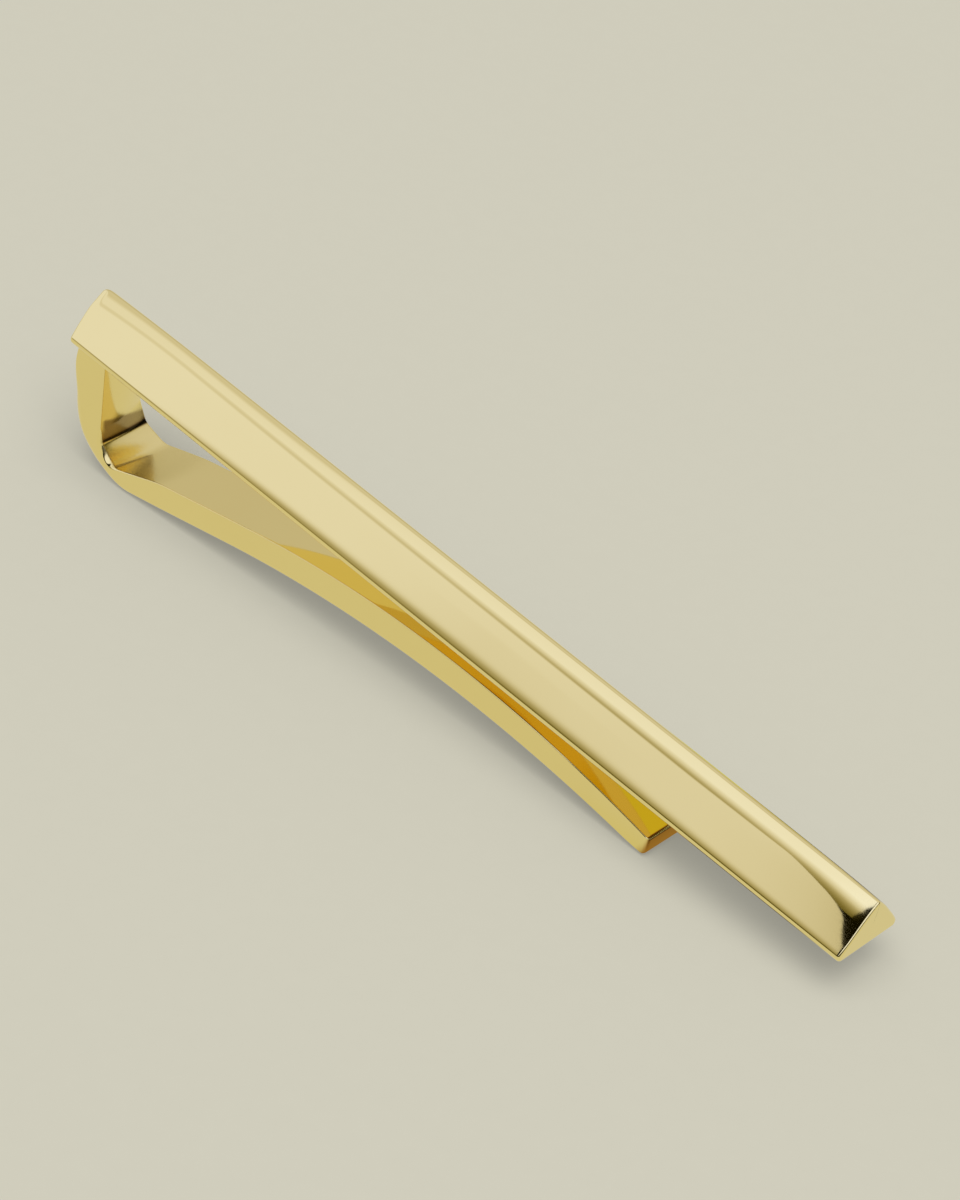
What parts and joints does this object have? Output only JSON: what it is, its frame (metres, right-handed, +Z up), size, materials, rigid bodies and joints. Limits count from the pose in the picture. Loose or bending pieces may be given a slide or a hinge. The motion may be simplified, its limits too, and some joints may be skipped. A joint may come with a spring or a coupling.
{
  "type": "tie clip",
  "caption": "Slide tie clip: a solid ridged front bar over a bent spring strip that is brazed under one end and holds the tie against the bar's flat back.",
  "frame": {"origin": "under the middle of the bounding box, on the plane that the strip's bend and tip rest on", "axes": "+X along the bar from the bend to the free end, +Y across the bar, +Z up through the ridge; the bar slopes down by 5.6 degrees towards +X, as it lies on a table"},
  "size_m": [0.055, 0.0044, 0.0104],
  "materials": {
    "bar_metal": "mirror-polished, pale gold plated",
    "braze_metal": "plated over, slightly dull",
    "strip_metal": "polished, gold plated"
  },
  "bodies": {
    "strip": {"spring_strip": "strip_metal"},
    "bar": {"front_bar": "bar_metal", "braze_joint": "braze_metal"}
  },
  "joints": [
    {"name": "strip_flex", "type": "hinge", "parent": "strip", "child": "bar", "pos_m": [-0.02691, 0, 0.00742], "axis": [0, -1, 0], "range_deg": [0, 3.5], "stiffness_Nm_per_rad": 0.2}
  ]
}
